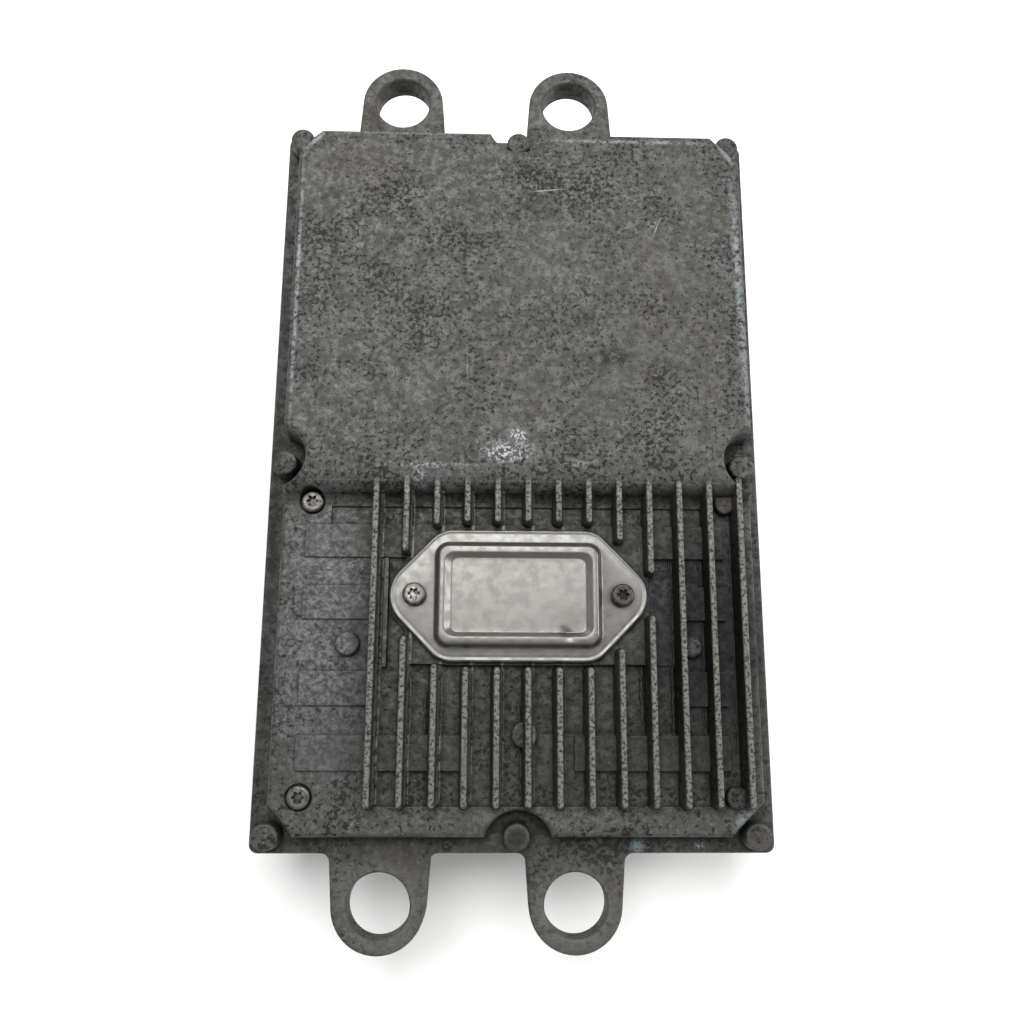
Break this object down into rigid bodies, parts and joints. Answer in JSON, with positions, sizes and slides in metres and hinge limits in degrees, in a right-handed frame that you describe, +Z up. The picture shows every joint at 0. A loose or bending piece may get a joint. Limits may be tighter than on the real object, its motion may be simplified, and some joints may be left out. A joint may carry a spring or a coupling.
{
  "type": "fuel injection control module",
  "caption": "Cast aluminium control module for diesel fuel injectors, with cooling fins, mounting ears, a stamped access cover and connectors on the back.",
  "frame": {"origin": "centre of the flange rectangle, on the plane that the back housing rests on", "axes": "+Z up from the back housing to the cooling fins, +Y along the fins from the finned end to the plain plateau, +X across the fins"},
  "size_m": [0.176, 0.3302, 0.057],
  "materials": {
    "cast_housing": "rough cast, weathered",
    "back_casting": "rough cast",
    "cover_sheet": "satin, plated",
    "screw_steel": "dull, plated",
    "gasket_rubber": "matte",
    "connector_plastic": "matte",
    "contact_metal": "tinned",
    "board_laminate": "satin mask",
    "chip_plastic": "matte",
    "can_metal": "satin",
    "ferrite": "matte",
    "copper_wire": "enamelled",
    "pad_silicone": "matte",
    "bar_steel": "dull"
  },
  "bodies": {
    "root": {"finned_housing": "cast_housing", "back_housing": "back_casting", "case_gasket": "gasket_rubber", "case_screws": "screw_steel", "access_cover": "cover_sheet", "access_cover_gasket": "gasket_rubber", "access_cover_screws": "screw_steel", "clamp_screws_outer": "screw_steel", "clamp_screws_inner": "screw_steel", "clamp_bars": "bar_steel", "power_transistors": "chip_plastic", "transistor_leads": "contact_metal", "insulating_pads": "pad_silicone", "power_board": "board_laminate", "power_board_screws": "screw_steel", "terminal_block": "connector_plastic", "terminals": "contact_metal", "storage_capacitors": "can_metal", "capacitor_saddle": "connector_plastic", "inductor_cores": "ferrite", "inductor_windings": "copper_wire", "logic_board": "board_laminate", "logic_board_screws": "screw_steel", "processor": "chip_plastic", "driver_chips": "chip_plastic", "memory_chip": "chip_plastic", "crystal_can": "can_metal", "filter_capacitors": "can_metal", "board_link_pins": "contact_metal", "board_link_socket": "connector_plastic", "board_link_plug": "connector_plastic", "connector_header_1": "connector_plastic", "connector_header_2": "connector_plastic", "connector_header_3": "connector_plastic", "connector_contacts_1": "contact_metal", "connector_contacts_2": "contact_metal", "connector_contacts_3": "contact_metal", "connector_seals": "gasket_rubber", "breather_plug": "gasket_rubber"}
  },
  "joints": []
}
